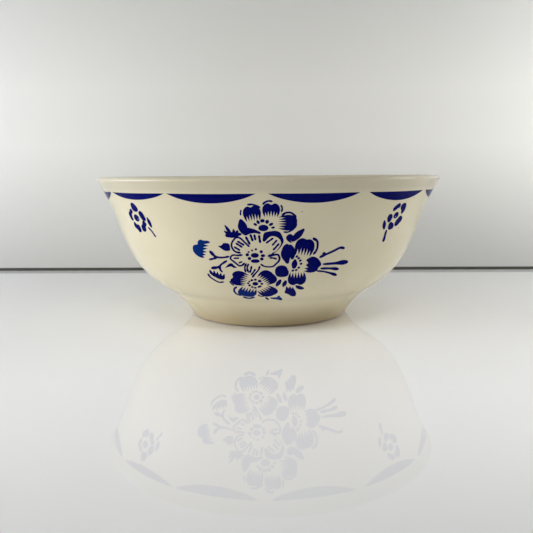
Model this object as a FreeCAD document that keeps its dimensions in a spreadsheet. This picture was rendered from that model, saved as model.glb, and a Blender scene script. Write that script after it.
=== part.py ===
import FreeCAD, Part
import math
import os
import Sketcher

# A round serving bowl: one fired clay body, the glass-like glaze fired over it, and the
# patches of blue colour on its outer face. Millimetres, +Z up, the origin on the table
# under the centre of the foot, the middle of the front bouquet towards -Y.

DIMENSIONS = {
    # Outer face of the glazed bowl, from the table up: four tangent arcs.
    "foot_radius": 55.7,
    "foot_lean": 61.8,
    "cove_radius": 57.5,
    "cove_turn": 30.2,
    "belly_radius": 60.75,
    "belly_turn": 33.6,
    "shoulder_radius": 125.5,
    "shoulder_turn": 8.0,
    "flare_radius": 134.0,
    "flare_turn": 14.7,
    # Thicknesses of the clay wall, the glaze and the blue colour.
    "wall": 3.6,
    "glaze": 0.3,
    "colour": 0.2,
    # The lip: two small edge rounds with a flatter crown between them.
    "lip_edge": 0.9,
    "lip_edge_turn": 70.0,
    # Floor, and the foot ring under it.
    "floor_height": 11.2,
    "underside_height": 6.8,
    "foot_inner_radius": 48.5,
    "foot_edge": 1.2,
    "recess_round": 3.0,
    "glaze_line": 0.8,
    "colour_turn": 13.0,
    # Border of crescents.
    "swag_top": 89.1,
    "swag_half_width": 26.2,
    "swag_depth": 4.7,
    # Bunches of flowers and single flowers.
    "flower_radius": 13.0,
    "bud_radius": 5.5,
    "stem_length": 20.0,
    "stem_width": 14.0,
    "sprig_radius": 6.5,
    "sprig_height": 75.0,
    "sprig_stem": 9.0,
    "sprig_stem_width": 1.2,
    # Length of the cutters that stamp the patches out of the colour layer.
    "reach": 130.0,
}

# The patches are laid by hand, so those of the border are a little unevenly spaced: the
# directions of their middles round the bowl, in degrees from the front (-Y) towards +X.
FIRST_SWAGS = [15.2, 44.4, 73.6]
LAST_SWAGS = [289.3, 317.6, 345.5]
BACK_SWAGS = 6
BUNCH_DIRECTIONS = [0.0, 180.0]
# Single flowers: direction, and the side to which the stem leans, seen from outside.
SPRIGS = [(46.4, "left"), (90.0, "left"), (135.0, "right"),
          (225.0, "left"), (270.0, "right"), (315.0, "right")]

# Middles of a bunch's flowers and buds on its flat stencil: sideways, height above the table.
FLOWERS = [(2.0, 75.0), (-4.5, 54.0), (-5.0, 35.0), (23.0, 47.0)]
BUDS = [(-36.0, 56.0), (-28.0, 40.0)]
STEM_ROOT = (30.0, 40.0)
# How far the stem of a single flower leans from upright, in degrees.
SPRIG_LEAN = 30.0

doc = FreeCAD.newDocument("serving_bowl")
sheet = doc.addObject("Spreadsheet::Sheet", "dims")
for row, (alias, value) in enumerate(DIMENSIONS.items(), start=1):
    sheet.set("A%d" % row, alias)
    sheet.set("B%d" % row, str(value))
    sheet.setAlias("B%d" % row, alias)
doc.recompute()


def dim(alias):
    """A driving dimension, read back from the sheet."""
    return float(sheet.get(alias))


def cell(formula):
    """An expression in which every {alias} stands for that cell of the sheet."""
    for alias in DIMENSIONS:
        formula = formula.replace("{%s}" % alias, "dims." + alias)
    return formula


def origin_feature(body, role):
    """One of a body's own origin planes or axes, such as XZ_Plane."""
    for feature in body.Origin.OriginFeatures:
        if feature.Role == role:
            return feature
    raise ValueError(role)


def size(sketch, kind, formula, value, *where):
    """A dimension of a sketch, bound to the sheet."""
    index = sketch.addConstraint(Sketcher.Constraint(kind, *where, value))
    sketch.setExpression("Constraints[%d]" % index, cell(formula))


class Outline:
    """A closed half section, drawn like a pen that turns along tangent arcs and lines."""

    def __init__(self, sketch, point):
        self.sketch = sketch
        self.point = point
        self.first = sketch.GeometryCount
        self.arcs = {}

    def _add(self, curve, end, smooth):
        index = self.sketch.addGeometry(curve, False)
        if index > self.first:
            kind = "Tangent" if smooth else "Coincident"
            self.sketch.addConstraint(
                Sketcher.Constraint(kind, index - 1, self.end_of_last, index, self.start))
        self.end_of_last = self.end
        self.point = end
        return index

    def line_to(self, end, smooth=False):
        start = FreeCAD.Vector(self.point[0], self.point[1], 0)
        stop = FreeCAD.Vector(end[0], end[1], 0)
        self.start, self.end = 1, 2
        return self._add(Part.LineSegment(start, stop), end, smooth)

    def arc(self, radius, heading, turn, formula=None, smooth=True):
        """Turn left (positive) or right (negative) by an angle in degrees."""
        side = math.copysign(1.0, turn)
        begin, sweep = math.radians(heading), math.radians(turn)
        centre = (self.point[0] - side * radius * math.sin(begin),
                  self.point[1] + side * radius * math.cos(begin))

        def on_arc(share):
            angle = begin + share * sweep
            return FreeCAD.Vector(centre[0] + side * radius * math.sin(angle),
                                  centre[1] - side * radius * math.cos(angle), 0)

        stop = on_arc(1.0)
        curve = Part.Arc(on_arc(0.0), on_arc(0.5), stop)
        # An arc is stored anticlockwise, so one that turns right starts at its second end.
        self.start, self.end = (1, 2) if side > 0 else (2, 1)
        index = self._add(curve, (stop.x, stop.y), smooth)
        if formula:
            size(self.sketch, "Radius", formula, radius, index)
        return index

    def close(self):
        last = self.sketch.GeometryCount - 1
        self.sketch.addConstraint(
            Sketcher.Constraint("Coincident", last, self.end_of_last, self.first, 1))


def new_section(name):
    """A body with an empty sketch on its XZ plane, seen from -Y."""
    body = doc.addObject("PartDesign::Body", name)
    sketch = body.newObject("Sketcher::SketchObject", name + "_section")
    sketch.AttachmentSupport = [(origin_feature(body, "XZ_Plane"), "")]
    sketch.MapMode = "FlatFace"
    return body, sketch


def revolve(body, sketch):
    """Turn a half section round the vertical axis."""
    turned = body.newObject("PartDesign::Revolution", body.Name + "_revolution")
    turned.Profile = sketch
    turned.ReferenceAxis = (origin_feature(body, "Z_Axis"), [""])
    turned.Angle = 360
    sketch.Visibility = False
    doc.recompute()
    return turned


def cove_centre():
    """The point that the hollow curve above the foot turns about."""
    lean, radius = math.radians(dim("foot_lean")), dim("cove_radius")
    return dim("foot_radius") + radius * math.sin(lean), -radius * math.cos(lean)


def foot_side(outward, height):
    """Radius and heading of the foot's side at a height, moved outward by a distance."""
    centre = cove_centre()
    reach = dim("cove_radius") - outward
    rise = height - centre[1]
    across = math.sqrt(reach ** 2 - rise ** 2)
    return centre[0] - across, math.degrees(math.acos(rise / reach))


def belly_lean():
    """Heading of the outer face where the cove meets the belly, in degrees."""
    return dim("foot_lean") - dim("cove_turn")


def belly_foot(outward):
    """The point where the cove meets the belly, moved outward by a distance."""
    centre, lean = cove_centre(), math.radians(belly_lean())
    reach = dim("cove_radius") - outward
    return centre[0] - reach * math.sin(lean), centre[1] + reach * math.cos(lean)


def arcs_up(outline, outward, offset, flare_turn, smooth=True):
    """The outer face from the cove's end up through the flare; returns its last heading."""
    heading = belly_lean()
    outline.arc(dim("belly_radius") + outward, heading, dim("belly_turn"),
                "{belly_radius} + (%s)" % offset, smooth)
    heading += dim("belly_turn")
    outline.arc(dim("shoulder_radius") + outward, heading, dim("shoulder_turn"),
                "{shoulder_radius} + (%s)" % offset)
    heading += dim("shoulder_turn")
    outline.arc(dim("flare_radius") - outward, heading, -flare_turn,
                "{flare_radius} - (%s)" % offset)
    return heading - flare_turn


def arcs_down(outline, outward, offset, heading, flare_turn, smooth=True):
    """The same three arcs from the top down, at another distance from the outer face."""
    outline.arc(dim("flare_radius") - outward, heading, flare_turn,
                "{flare_radius} - (%s)" % offset, smooth)
    heading += flare_turn
    outline.arc(dim("shoulder_radius") + outward, heading, -dim("shoulder_turn"),
                "{shoulder_radius} + (%s)" % offset)
    heading -= dim("shoulder_turn")
    outline.arc(dim("belly_radius") + outward, heading, -dim("belly_turn"),
                "{belly_radius} + (%s)" % offset)
    return heading - dim("belly_turn")


def bowl_solid(name, skin, base, skin_formula):
    """The whole bowl, grown by a skin, from a height above the table: body and envelope."""
    body, sketch = new_section(name)
    outward = skin - dim("glaze")
    inward = outward - dim("wall") - 2.0 * skin
    inner_radius = dim("foot_inner_radius") - skin
    floor = dim("floor_height") + skin
    underside = dim("underside_height") - skin
    offset = "%s - {glaze}" % skin_formula
    inner_offset = "-{glaze} - {wall} - %s" % skin_formula

    outline = Outline(sketch, (inner_radius, base))
    foot_edge, lean = foot_side(outward, base)
    standing = outline.line_to((foot_edge, base))
    outline.arc(dim("cove_radius") - outward, lean, belly_lean() - lean,
                "{cove_radius} - (%s)" % offset, smooth=False)
    heading = arcs_up(outline, outward, offset, dim("flare_turn"))

    edge, edge_turn = dim("lip_edge") + skin, dim("lip_edge_turn")
    rise = 1.0 - math.cos(math.radians(edge_turn))
    crown = (dim("wall") - 2.0 * rise * dim("lip_edge")) / (2.0 * (1.0 - rise)) + skin
    crown_formula = ("({wall} - 2 * (1 - cos({lip_edge_turn} * 1 deg)) * {lip_edge})"
                     " / (2 * cos({lip_edge_turn} * 1 deg)) + %s" % skin_formula)
    for radius, turn, formula in (
            (edge, edge_turn, "{lip_edge} + " + skin_formula),
            (crown, 180.0 - 2.0 * edge_turn, crown_formula),
            (edge, edge_turn, "{lip_edge} + " + skin_formula)):
        outline.arc(radius, heading, turn, formula)
        heading += turn

    heading = arcs_down(outline, inward, inner_offset, heading, dim("flare_turn"))
    # The last inner arc levels out at the floor, so its radius follows from the drop.
    level = 1.0 - math.cos(math.radians(heading - 180.0))
    dish = (outline.point[1] - floor) / level
    outline.arc(dish, heading, 180.0 - heading)
    floor_line = outline.line_to((0.0, floor), smooth=True)
    axis_line = outline.line_to((0.0, underside))
    under_line = outline.line_to((inner_radius, underside))
    ring_line = outline.line_to((inner_radius, base))
    outline.close()

    for line, kind in ((standing, "Horizontal"), (under_line, "Horizontal"),
                       (axis_line, "Vertical"), (ring_line, "Vertical")):
        sketch.addConstraint(Sketcher.Constraint(kind, line))
    sketch.addConstraint(Sketcher.Constraint("PointOnObject", axis_line, 1, -2))
    size(sketch, "DistanceX", "{foot_inner_radius} - " + skin_formula, inner_radius,
         -1, 1, standing, 1)
    size(sketch, "DistanceY", "{floor_height} + " + skin_formula, floor,
         -1, 1, floor_line, 2)
    size(sketch, "DistanceY", "{underside_height} - " + skin_formula, underside,
         -1, 1, axis_line, 2)
    turned = revolve(body, sketch)
    return body, turned


def round_circles(body, base, radius_formula, picked):
    """Fillet the circular edges of a feature that a test picks."""
    names = []
    for number, edge in enumerate(base.Shape.Edges, start=1):
        if isinstance(edge.Curve, Part.Circle) and picked(edge.Curve.Radius, edge.Curve.Center.z):
            names.append("Edge%d" % number)
    fillet = body.newObject("PartDesign::Fillet", body.Name + "_round_%d" % len(body.Group))
    fillet.Base = (base, names)
    fillet.setExpression("Radius", cell(radius_formula))
    doc.recompute()
    return fillet


def near(value, target):
    return abs(value - target) < 0.01


# The fired clay: standing ring with rounded edges, recess under the floor.
clay, clay_turned = bowl_solid("bowl_body", 0.0, 0.0, "0")
clay_foot = round_circles(clay, clay_turned, "{foot_edge}", lambda radius, height: near(height, 0.0))
round_circles(clay, clay_foot, "{recess_round}",
              lambda radius, height: near(height, dim("underside_height"))
              and near(radius, dim("foot_inner_radius")))

# The glaze is what is left of the grown bowl once the clay is taken out of it. It stops
# just above the table, where the foot is wiped clean before firing, so the glaze inside
# the foot ring is a skin of its own.
envelope, envelope_turned = bowl_solid("glazed_envelope", dim("glaze"), dim("glaze_line"), "{glaze}")
round_circles(envelope, envelope_turned, "{recess_round} - {glaze}",
              lambda radius, height: near(height, dim("underside_height") - dim("glaze"))
              and near(radius, dim("foot_inner_radius") - dim("glaze")))
skins = doc.addObject("Part::Cut", "glaze_skins")
skins.Base = envelope
skins.Tool = clay
divider = doc.addObject("Part::Cylinder", "foot_divider")
divider.setExpression("Radius", cell("({foot_inner_radius} + {foot_radius}) / 2"))
divider.setExpression("Height", cell("{underside_height} + {glaze}"))
coat = doc.addObject("Part::Cut", "glaze_coat")
coat.Base = skins
coat.Tool = divider
recess = doc.addObject("Part::Common", "foot_recess_glaze")
recess.Base = skins
recess.Tool = divider
pieces = [clay, coat, recess]

# One thin layer of blue colour all round the outer face, out of which every patch is cut.
layer, layer_section = new_section("colour_layer")
outline = Outline(layer_section, belly_foot(dim("colour")))
heading = arcs_up(outline, dim("colour"), "{colour}", dim("colour_turn"), smooth=False)
top = math.radians(heading)
outline.line_to((outline.point[0] - dim("colour") * math.sin(top),
                 outline.point[1] + dim("colour") * math.cos(top)))
arcs_down(outline, 0.0, "0", heading + 180.0, dim("colour_turn"), smooth=False)
outline.line_to(belly_foot(dim("colour")))
outline.close()
revolve(layer, layer_section)


def stamp(name, cutter, azimuth):
    """A patch of colour: what a cutter takes out of the layer, turned to its azimuth."""
    patch = doc.addObject("Part::Common", name)
    patch.Base = layer
    patch.Tool = cutter
    patch.Placement = FreeCAD.Placement(
        FreeCAD.Vector(0, 0, 0), FreeCAD.Rotation(FreeCAD.Vector(0, 0, 1), azimuth))
    pieces.append(patch)


def outward_round(name, radius, across, height):
    """A round cutter that points from the axis towards -Y."""
    cutter = doc.addObject("Part::Cylinder", name)
    cutter.setExpression("Radius", cell(radius))
    cutter.setExpression("Height", cell("{reach}"))
    cutter.Placement = FreeCAD.Placement(
        FreeCAD.Vector(across, 0, height), FreeCAD.Rotation(FreeCAD.Vector(1, 0, 0), 90))
    return cutter


def outward_bar(name, length, width, root, tilt):
    """A long flat cutter that points towards -Y and leans from its root by a tilt."""
    cutter = doc.addObject("Part::Box", name)
    cutter.setExpression("Length", cell(length))
    cutter.setExpression("Height", cell(width))
    cutter.setExpression("Width", cell("{reach}"))
    cutter.Placement = FreeCAD.Placement(
        FreeCAD.Vector(root[0], -dim("reach"), root[1]),
        FreeCAD.Rotation(FreeCAD.Vector(0, 1, 0), -tilt))
    return cutter


def joined(name, cutters):
    """Several cutters as one."""
    group = doc.addObject("Part::MultiFuse", name)
    group.Shapes = cutters
    return group


# Border: crescents with a level top edge and points a little apart.
crescent, crescent_section = new_section("crescent_cutter")
half, depth, top = dim("swag_half_width"), dim("swag_depth"), dim("swag_top")
left, right = FreeCAD.Vector(-half, top, 0), FreeCAD.Vector(half, top, 0)
edge = crescent_section.addGeometry(Part.LineSegment(left, right), False)
bow = crescent_section.addGeometry(Part.Arc(left, FreeCAD.Vector(0, top - depth, 0), right), False)
crescent_section.addConstraint(Sketcher.Constraint("Coincident", edge, 1, bow, 1))
crescent_section.addConstraint(Sketcher.Constraint("Coincident", edge, 2, bow, 2))
crescent_section.addConstraint(Sketcher.Constraint("Horizontal", edge))
size(crescent_section, "DistanceX", "2 * {swag_half_width}", 2.0 * half, edge, 1, edge, 2)
size(crescent_section, "DistanceY", "{swag_top}", top, -1, 1, edge, 1)
size(crescent_section, "DistanceX", "{swag_half_width}", half, -1, 1, edge, 2)
size(crescent_section, "Radius", "({swag_half_width} ^ 2 + {swag_depth} ^ 2) / (2 * {swag_depth})",
     (half ** 2 + depth ** 2) / (2.0 * depth), bow)
pad = crescent.newObject("PartDesign::Pad", "crescent_pad")
pad.Profile = crescent_section
pad.setExpression("Length", cell("{reach}"))
crescent_section.Visibility = False
doc.recompute()
step = (LAST_SWAGS[0] - FIRST_SWAGS[-1]) / (BACK_SWAGS + 1)
back_swags = [FIRST_SWAGS[-1] + step * (number + 1) for number in range(BACK_SWAGS)]
for number, direction in enumerate(FIRST_SWAGS + back_swags + LAST_SWAGS, start=1):
    stamp("swag_%02d" % number, crescent, direction)

# Two bunches of flowers: blooms, two buds to their left and a spread of stems to their right.
bunch_parts = [outward_round("bloom_%d" % number, "{flower_radius}", *middle)
               for number, middle in enumerate(FLOWERS, start=1)]
bunch_parts += [outward_round("bud_%d" % number, "{bud_radius}", *middle)
                for number, middle in enumerate(BUDS, start=1)]
bunch_parts.append(outward_bar("stems", "{stem_length}", "{stem_width}", STEM_ROOT, 0.0))
bunch = joined("bunch_cutter", bunch_parts)
for number, direction in enumerate(BUNCH_DIRECTIONS, start=1):
    stamp("bouquet_%d" % number, bunch, direction)

# Single flowers between the bunches, three a side; each stem leans towards a bunch.
sprig_cutters = {}
for side, sign in (("left", -1.0), ("right", 1.0)):
    bloom = outward_round("sprig_bloom_" + side, "{sprig_radius}", 0.0, dim("sprig_height"))
    stem = outward_bar("sprig_stem_" + side, "{sprig_radius} + {sprig_stem}", "{sprig_stem_width}",
                       (0.0, dim("sprig_height")), -90.0 + sign * SPRIG_LEAN)
    sprig_cutters[side] = joined("sprig_cutter_" + side, [bloom, stem])
for number, (direction, side) in enumerate(SPRIGS, start=1):
    stamp("sprig_%d" % number, sprig_cutters[side], direction)

doc.recompute()
for item in doc.Objects:
    if "Invalid" in item.State or "Error" in item.State:
        raise RuntimeError("%s: %s" % (item.Name, item.State))

os.makedirs("parts", exist_ok=True)
for piece in pieces:
    piece.Label = piece.Name
    if piece.Shape.isNull() or not piece.Shape.isValid():
        raise RuntimeError("%s has no valid shape" % piece.Label)
    piece.Shape.exportStep("parts/%s.step" % piece.Label)
    print("%-20s %10.1f mm3  %d solid(s)" % (piece.Label, piece.Shape.Volume,
                                            len(piece.Shape.Solids)))
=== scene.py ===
import bisect
import math

import bmesh
import bpy
from mathutils import Matrix, Vector


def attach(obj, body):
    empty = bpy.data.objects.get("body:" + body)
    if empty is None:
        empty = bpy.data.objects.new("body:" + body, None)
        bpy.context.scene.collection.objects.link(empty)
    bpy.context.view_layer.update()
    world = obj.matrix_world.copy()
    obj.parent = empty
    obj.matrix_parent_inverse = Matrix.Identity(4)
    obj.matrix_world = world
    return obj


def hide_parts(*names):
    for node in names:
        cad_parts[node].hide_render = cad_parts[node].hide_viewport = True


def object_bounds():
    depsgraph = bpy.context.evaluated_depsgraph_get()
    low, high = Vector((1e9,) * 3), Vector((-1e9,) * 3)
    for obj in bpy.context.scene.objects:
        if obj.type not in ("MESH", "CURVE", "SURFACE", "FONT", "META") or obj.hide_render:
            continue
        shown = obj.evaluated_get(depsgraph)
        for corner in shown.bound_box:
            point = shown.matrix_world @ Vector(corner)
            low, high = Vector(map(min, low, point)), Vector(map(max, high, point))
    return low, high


# A round serving bowl of fired clay under an ivory glaze, with blue flowers and a border
# of blue crescents painted on its outer face. Shapes are drawn in millimetres and made
# in metres, with +Z up and the foot on the table.

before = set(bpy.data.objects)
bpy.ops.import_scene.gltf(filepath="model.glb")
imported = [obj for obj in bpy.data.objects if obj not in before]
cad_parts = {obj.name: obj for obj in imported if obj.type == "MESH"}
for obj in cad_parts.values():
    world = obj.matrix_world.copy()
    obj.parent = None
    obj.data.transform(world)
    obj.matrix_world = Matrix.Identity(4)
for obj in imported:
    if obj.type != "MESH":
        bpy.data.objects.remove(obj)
CAD_LOW, CAD_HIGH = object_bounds()
MM = 0.001

# Outer face of the glazed bowl: radius and turn, in degrees, of its tangent arcs.
FOOT_RADIUS = 55.7
FOOT_LEAN = 61.8
COVE = (57.5, -30.2)
BELLY = (60.75, 33.6)
SHOULDER = (125.5, 8.0)
FLARE = (134.0, -14.7)
# Thicknesses, and the rounds of the lip and of the foot.
WALL = 3.6
GLAZE = 0.3
LIP_EDGE = 0.9
LIP_EDGE_TURN = 70.0
FLOOR_HEIGHT = 11.2
UNDERSIDE_HEIGHT = 6.8
FOOT_INNER_RADIUS = 48.5
FOOT_EDGE = 1.2
RECESS_ROUND = 3.0
GLAZE_LINE = 0.8
# The paint stands this far proud of the glaze and reaches this far into it.
PAINT_LIFT = 0.08
PAINT_ROOT = 0.04
# Under the glaze a dot of paint, and a stroke, run this much wider than the brush.
PAINT_RUN = 0.3
STROKE_RUN = PAINT_RUN / 3.0
# Steps of a full turn, and the length of the steps along a half section.
TURN_STEPS = 256
FINE_STEP = 1.1
COARSE_STEP = 3.0
# Paint is divided this finely so that it follows the curve of the wall.
PAINT_GRID = 2.0
# Height on the wall from which the painter's measures start.
PAINT_ZERO = 60.0
# Edges sharper than this are shaded as corners.
CORNER_ANGLE = math.radians(40.0)
# Heights in metres where the foot's amber and painted shade fade out, and the rim's painted shade begins.
FOOT_AMBER_AND_SHADE = (0.002, 0.018)
RIM_PAINTED_SHADE = (0.0885, 0.0915)


# ---------------------------------------------------------------- half sections

class Pen:
    """Draws a half section, radius and height, along tangent arcs and straight lines."""

    def __init__(self, radius, height, heading, step):
        self.points = [(radius, height)]
        self.headings = [heading]
        self.heading = heading
        self.step = step

    def _mark(self, radius, height):
        self.points.append((radius, height))
        self.headings.append(self.heading)

    def arc(self, radius, turn):
        """Turn left (positive) or right (negative) by an angle in degrees."""
        sweep = math.radians(abs(turn))
        steps = max(4, math.ceil(radius * sweep / self.step))
        chord = 2.0 * radius * math.sin(sweep / steps / 2.0)
        for _ in range(steps):
            way = math.radians(self.heading + turn / steps / 2.0)
            self.heading += turn / steps
            across, up = self.points[-1]
            self._mark(across + chord * math.cos(way), up + chord * math.sin(way))

    def line_to(self, radius, height):
        self._mark(radius, height)


def foot_side(outward, height):
    """Radius and heading of the foot's side at a height, moved outward by a distance."""
    lean = math.radians(FOOT_LEAN)
    centre = (FOOT_RADIUS + COVE[0] * math.sin(lean), -COVE[0] * math.cos(lean))
    reach = COVE[0] - outward
    rise = height - centre[1]
    return centre[0] - math.sqrt(reach ** 2 - rise ** 2), math.degrees(math.acos(rise / reach))


def up_the_outside(pen, outward):
    """From the foot's side up to the lip."""
    pen.arc(COVE[0] - outward, FOOT_LEAN + COVE[1] - pen.heading)
    pen.arc(BELLY[0] + outward, BELLY[1])
    pen.arc(SHOULDER[0] + outward, SHOULDER[1])
    pen.arc(FLARE[0] - outward, FLARE[1])


def over_the_lip(pen, skin):
    """Two small rounds with a flatter crown between them."""
    rise = 1.0 - math.cos(math.radians(LIP_EDGE_TURN))
    crown = (WALL - 2.0 * rise * LIP_EDGE) / (2.0 * (1.0 - rise)) + skin
    step, pen.step = pen.step, 0.4
    pen.arc(LIP_EDGE + skin, LIP_EDGE_TURN)
    pen.arc(crown, 180.0 - 2.0 * LIP_EDGE_TURN)
    pen.arc(LIP_EDGE + skin, LIP_EDGE_TURN)
    pen.step = step


def down_the_inside(pen, inward, floor):
    """Back down the wall and along the floor to the axis."""
    pen.arc(FLARE[0] - inward, -FLARE[1])
    pen.arc(SHOULDER[0] + inward, -SHOULDER[1])
    pen.arc(BELLY[0] + inward, -BELLY[1])
    level = 1.0 - math.cos(math.radians(pen.heading - 180.0))
    pen.arc((pen.points[-1][1] - floor) / level, 180.0 - pen.heading)
    pen.line_to(0.0, floor)


def bowl_line(pen, skin):
    """The bowl's line from the foot's side to the middle of the floor, grown by a skin."""
    outward = skin - GLAZE
    up_the_outside(pen, outward)
    over_the_lip(pen, skin)
    down_the_inside(pen, outward - WALL - 2.0 * skin, FLOOR_HEIGHT + skin)
    return pen.points


def recess_line(pen, skin, base):
    """The hollow under the foot, from its middle to the inner side of the standing ring."""
    round_radius = RECESS_ROUND - skin
    pen.line_to(FOOT_INNER_RADIUS - RECESS_ROUND, UNDERSIDE_HEIGHT - skin)
    pen.arc(round_radius, -90.0)
    pen.line_to(FOOT_INNER_RADIUS - skin, base)
    return pen.points


def clay_line():
    """All round the clay: recess, standing ring, outside, lip and inside."""
    pen = Pen(0.0, UNDERSIDE_HEIGHT, 0.0, COARSE_STEP)
    recess_line(pen, 0.0, FOOT_EDGE)
    pen.arc(FOOT_EDGE, 90.0)
    foot_edge, lean = foot_side(-GLAZE, 0.0)
    pen.line_to(foot_edge - FOOT_EDGE * math.tan(math.radians(lean / 2.0)), 0.0)
    pen.arc(FOOT_EDGE, lean)
    height = pen.points[-1][1]
    radius, pen.heading = foot_side(-GLAZE, height)
    pen.line_to(radius, height)
    return bowl_line(pen, 0.0)


def glaze_line():
    """Both faces of the glaze, from the clay's floor round to the glazed floor."""
    inner_radius, inner_lean = foot_side(-GLAZE, GLAZE_LINE)
    inner = bowl_line(Pen(inner_radius, GLAZE_LINE, inner_lean, COARSE_STEP), 0.0)
    outer_radius, outer_lean = foot_side(0.0, GLAZE_LINE)
    outer = bowl_line(Pen(outer_radius, GLAZE_LINE, outer_lean, FINE_STEP), GLAZE)
    return inner[::-1] + outer


def recess_glaze_line():
    """Both faces of the glaze in the hollow under the foot."""
    clay_side = recess_line(Pen(0.0, UNDERSIDE_HEIGHT, 0.0, FINE_STEP), 0.0, GLAZE_LINE)
    open_side = recess_line(Pen(0.0, UNDERSIDE_HEIGHT - GLAZE, 0.0, FINE_STEP), GLAZE, GLAZE_LINE)
    return open_side + clay_side[::-1]


# The drawn bowl is fitted into the frame's box, and stays a hair inside it.
SECTION = glaze_line()
HAIR = 0.9999
FIT = HAIR * (CAD_HIGH.y - CAD_LOW.y) / 2.0 / (max(radius for radius, _ in SECTION) * MM)


def new_object(bm, name, material, nodes):
    """A finished piece from a bmesh: it rides on the bowl and stands for its CAD nodes."""
    mesh = bpy.data.meshes.new(name)
    bm.to_mesh(mesh)
    bm.free()
    mesh.materials.append(material)
    piece = bpy.data.objects.new(name, mesh)
    bpy.context.scene.collection.objects.link(piece)
    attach(piece, "root")
    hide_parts(*nodes)
    return piece


def turned(name, line, material, cad_node):
    """A half section spun round the axis into a closed shell."""
    bm = bmesh.new()
    corners = [bm.verts.new((radius * FIT, 0.0, height * FIT)) for radius, height in line]
    edges = [bm.edges.new(pair) for pair in zip(corners, corners[1:])]
    bmesh.ops.spin(bm, geom=corners + edges, cent=(0, 0, 0), axis=(0, 0, 1),
                   angle=math.tau, steps=TURN_STEPS, use_merge=True)
    bmesh.ops.remove_doubles(bm, verts=bm.verts[:], dist=0.002)
    bmesh.ops.recalc_face_normals(bm, faces=bm.faces[:])
    bmesh.ops.scale(bm, vec=(MM, MM, MM), verts=bm.verts[:])
    for face in bm.faces:
        face.smooth = True
    for edge in bm.edges:
        edge.smooth = edge.calc_face_angle(0.0) < CORNER_ANGLE
    return new_object(bm, name, material, [cad_node])


# ---------------------------------------------------------------- materials

def new_material(name):
    material = bpy.data.materials.new(name)
    material.use_nodes = True
    shader = material.node_tree.nodes["Principled BSDF"]
    return material, material.node_tree, shader


def node(tree, kind, **values):
    """A shader node with its sockets set by name."""
    made = tree.nodes.new(kind)
    for name, value in values.items():
        made.inputs[name.replace("_", " ")].default_value = value
    return made


def ramp(tree, source, stops):
    """A colour ramp through (place, colour) stops."""
    made = tree.nodes.new("ShaderNodeValToRGB")
    elements = made.color_ramp.elements
    while len(elements) < len(stops):
        elements.new(0.5)
    for element, (place, colour) in zip(elements, stops):
        element.position = place
        element.color = colour + (1.0,)
    tree.links.new(source, made.inputs["Fac"])
    return made.outputs["Color"]


def mixed(tree, share, first, second, blend="MIX"):
    """Two colours mixed by a share; each may be a socket or a plain colour."""
    made = tree.nodes.new("ShaderNodeMix")
    made.data_type = "RGBA"
    made.blend_type = blend
    for socket, value in ((made.inputs["Factor"], share), (made.inputs[6], first),
                          (made.inputs[7], second)):
        if isinstance(value, bpy.types.NodeSocket):
            tree.links.new(value, socket)
        elif isinstance(value, float):
            socket.default_value = value
        else:
            socket.default_value = value + (1.0,)
    return made.outputs[2]


def ranged(tree, source, from_low, from_high, to_low, to_high):
    """A value moved from one range to another and kept inside it."""
    made = node(tree, "ShaderNodeMapRange", From_Min=from_low, From_Max=from_high,
                To_Min=to_low, To_Max=to_high)
    tree.links.new(source, made.inputs["Value"])
    return made.outputs["Result"]


def fired_surface_group():
    """Pooling, pinholes and orange-peel of a fired glaze, as masks and a height."""
    group = bpy.data.node_groups.new("fired_surface", "ShaderNodeTree")
    face = group.interface
    for name, kind, start in (("Pool Scale", "NodeSocketFloat", 18.0),
                              ("Peel Scale", "NodeSocketFloat", 260.0),
                              ("Pin Scale", "NodeSocketFloat", 120.0)):
        face.new_socket(name, in_out="INPUT", socket_type=kind).default_value = start
    for name in ("Pooling", "Pinholes", "Height"):
        face.new_socket(name, in_out="OUTPUT", socket_type="NodeSocketFloat")
    given = group.nodes.new("NodeGroupInput")
    result = group.nodes.new("NodeGroupOutput")
    place = group.nodes.new("ShaderNodeTexCoord")

    pool = node(group, "ShaderNodeTexNoise", Detail=3.0, Roughness=0.5)
    peel = node(group, "ShaderNodeTexNoise", Detail=2.0, Roughness=0.55)
    pins = group.nodes.new("ShaderNodeTexVoronoi")
    for texture, scale in ((pool, "Pool Scale"), (peel, "Peel Scale"), (pins, "Pin Scale")):
        group.links.new(place.outputs["Object"], texture.inputs["Vector"])
        group.links.new(given.outputs[scale], texture.inputs["Scale"])
    near_pin = ranged(group, pins.outputs["Distance"], 0.035, 0.06, 1.0, 0.0)
    rare = ranged(group, pins.outputs["Color"], 0.78, 0.8, 0.0, 1.0)
    pinholes = group.nodes.new("ShaderNodeMath")
    pinholes.operation = "MULTIPLY"
    group.links.new(near_pin, pinholes.inputs[0])
    group.links.new(rare, pinholes.inputs[1])
    height = group.nodes.new("ShaderNodeMath")
    height.operation = "MULTIPLY_ADD"
    height.inputs[1].default_value = -1.5
    group.links.new(pinholes.outputs[0], height.inputs[0])
    group.links.new(peel.outputs["Fac"], height.inputs[2])
    group.links.new(pool.outputs["Fac"], result.inputs["Pooling"])
    group.links.new(pinholes.outputs[0], result.inputs["Pinholes"])
    group.links.new(height.outputs[0], result.inputs["Height"])
    return group


FIRED_SURFACE = fired_surface_group()


def fired(tree, shader, peel_depth, gloss):
    """The shared fired surface placed in a material: bump and roughness; returns its node."""
    surface = tree.nodes.new("ShaderNodeGroup")
    surface.node_tree = FIRED_SURFACE
    bump = node(tree, "ShaderNodeBump", Strength=0.35, Distance=peel_depth)
    tree.links.new(surface.outputs["Height"], bump.inputs["Height"])
    tree.links.new(bump.outputs["Normal"], shader.inputs["Normal"])
    rough = ranged(tree, surface.outputs["Pooling"], 0.3, 0.7, gloss[0], gloss[1])
    tree.links.new(rough, shader.inputs["Roughness"])
    return surface


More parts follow.
